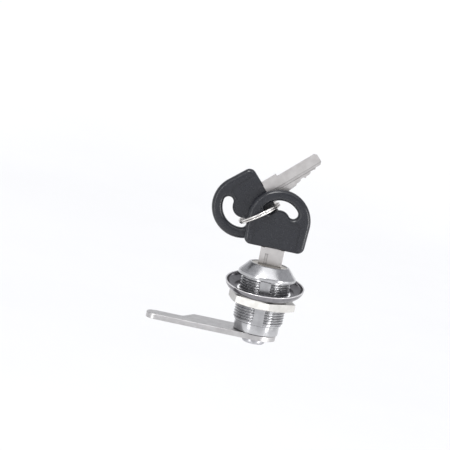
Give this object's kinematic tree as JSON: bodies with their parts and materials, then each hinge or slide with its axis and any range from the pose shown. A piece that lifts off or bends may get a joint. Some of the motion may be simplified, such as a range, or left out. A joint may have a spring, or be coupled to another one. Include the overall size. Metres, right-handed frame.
{
  "type": "cam lock",
  "caption": "Round threaded cam lock with a cone head, hexagon nut, loose dished trim ring, flat steel cam, and linked keys with black plastic heads.",
  "frame": {"origin": "on the barrel axis at the underside of the head, where the panel sits", "axes": "+Z along the barrel axis out of the panel towards the key, cam along -X at rest, key faces square to Y"},
  "size_m": [0.0563, 0.0296, 0.0743],
  "materials": {
    "nickel": "bright nickel plating on die-cast zinc",
    "core": "nickel-plated brass",
    "wafer": "stamped brass",
    "spring": "spring wire",
    "cam_steel": "zinc-plated pressed steel",
    "screw_steel": "zinc-plated steel",
    "nut_satin": "satin nickel plating",
    "trim_chrome": "thin polished sheet",
    "blade": "nickel-plated, milled",
    "key_plastic": "moulded black plastic",
    "ring_wire": "plated spring wire"
  },
  "bodies": {
    "lock_body": {"housing": "nickel"},
    "plug_and_cam": {"plug": "core", "stop_washer": "screw_steel", "cam": "cam_steel", "cam_lock_washer": "screw_steel", "cam_screw": "screw_steel"},
    "key": {"key_blade": "blade", "key_head": "key_plastic"},
    "ring_and_spare_key": {"key_ring": "ring_wire", "spare_key_blade": "blade", "spare_key_head": "key_plastic"},
    "trim": {"trim_ring": "trim_chrome"},
    "nut": {"mounting_nut": "nut_satin"},
    "wafer_slider_1": {"wafer_1": "wafer", "wafer_spring_1": "spring"},
    "wafer_slider_2": {"wafer_2": "wafer", "wafer_spring_2": "spring"},
    "wafer_slider_3": {"wafer_3": "wafer", "wafer_spring_3": "spring"},
    "wafer_slider_4": {"wafer_4": "wafer", "wafer_spring_4": "spring"},
    "wafer_slider_5": {"wafer_5": "wafer", "wafer_spring_5": "spring"}
  },
  "joints": [
    {"name": "plug_turn", "type": "hinge", "parent": "lock_body", "child": "plug_and_cam", "pos_m": [0, 0, 0], "axis": [0, 0, 1], "range_deg": [-90, 0]},
    {"name": "key_pull", "type": "slide", "parent": "plug_and_cam", "child": "key", "axis": [0, 0, 1], "range_m": [0, 0.026]},
    {"name": "spare_key_swing", "type": "hinge", "parent": "key", "child": "ring_and_spare_key", "pos_m": [0, 0, 0.0218], "axis": [0, -1, 0], "range_deg": [-60, 12]},
    {"name": "nut_travel", "type": "slide", "parent": "lock_body", "child": "trim", "axis": [0, 0, -1], "range_m": [0, 0.0065]},
    {"name": "nut_spin", "type": "hinge", "parent": "trim", "child": "nut", "pos_m": [0, 0, -0.009], "axis": [0, 0, -1], "range_deg": [0, 2340]},
    {"name": "wafer_1_slide", "type": "slide", "parent": "plug_and_cam", "child": "wafer_slider_1", "axis": [1, 0, 0], "range_m": [0, 0.0006], "stiffness_N_per_m": 60, "springref_m": -0.002},
    {"name": "wafer_2_slide", "type": "slide", "parent": "plug_and_cam", "child": "wafer_slider_2", "axis": [1, 0, 0], "range_m": [0, 0.0006], "stiffness_N_per_m": 60, "springref_m": -0.002},
    {"name": "wafer_3_slide", "type": "slide", "parent": "plug_and_cam", "child": "wafer_slider_3", "axis": [1, 0, 0], "range_m": [0, 0.0006], "stiffness_N_per_m": 60, "springref_m": -0.002},
    {"name": "wafer_4_slide", "type": "slide", "parent": "plug_and_cam", "child": "wafer_slider_4", "axis": [1, 0, 0], "range_m": [0, 0.0006], "stiffness_N_per_m": 60, "springref_m": -0.002},
    {"name": "wafer_5_slide", "type": "slide", "parent": "plug_and_cam", "child": "wafer_slider_5", "axis": [1, 0, 0], "range_m": [0, 0.0006], "stiffness_N_per_m": 60, "springref_m": -0.002}
  ],
  "couplings": [
    {"joint": "nut_spin", "follows": "nut_travel", "rad_per_m": 6283.2}
  ]
}
